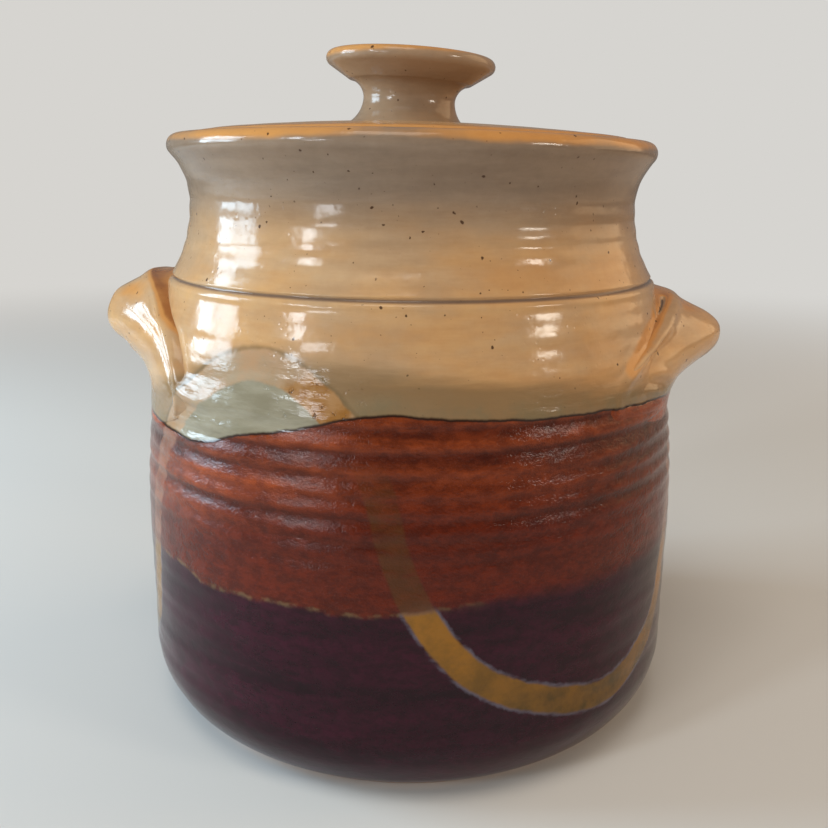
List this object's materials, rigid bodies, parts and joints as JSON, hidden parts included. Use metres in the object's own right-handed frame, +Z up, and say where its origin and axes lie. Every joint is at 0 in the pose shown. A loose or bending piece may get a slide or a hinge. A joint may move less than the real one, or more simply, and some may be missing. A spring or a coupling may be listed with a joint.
{
  "type": "lidded bean pot",
  "caption": "Round stoneware bean pot with a flared neck, a loose inset lid with a waisted knob, and a pulled lug on each side.",
  "frame": {"origin": "centre of the foot, on the plane the pot stands on", "axes": "+Z up along the turning axis, +X through the right lug, -Y towards the viewer's front"},
  "size_m": [0.2366, 0.2028, 0.241],
  "materials": {
    "jar_glaze": "cream glaze on the shoulder and neck, iron red band, satin plum base, bare clay foot",
    "lug_glaze": "glossy speckled cream glaze, thin and toasted on the ridges",
    "lid_glaze": "glossy speckled cream glaze",
    "knob_glaze": "glossy speckled cream glaze, toasted on the rim"
  },
  "bodies": {
    "jar": {"jar": "jar_glaze", "lug_left": "lug_glaze", "lug_right": "lug_glaze"},
    "lid": {"lid": "lid_glaze", "lid_knob": "knob_glaze"}
  },
  "joints": [
    {"name": "lid_lift", "type": "slide", "parent": "jar", "child": "lid", "axis": [0, 0, 1], "range_m": [0, 0.25]}
  ]
}
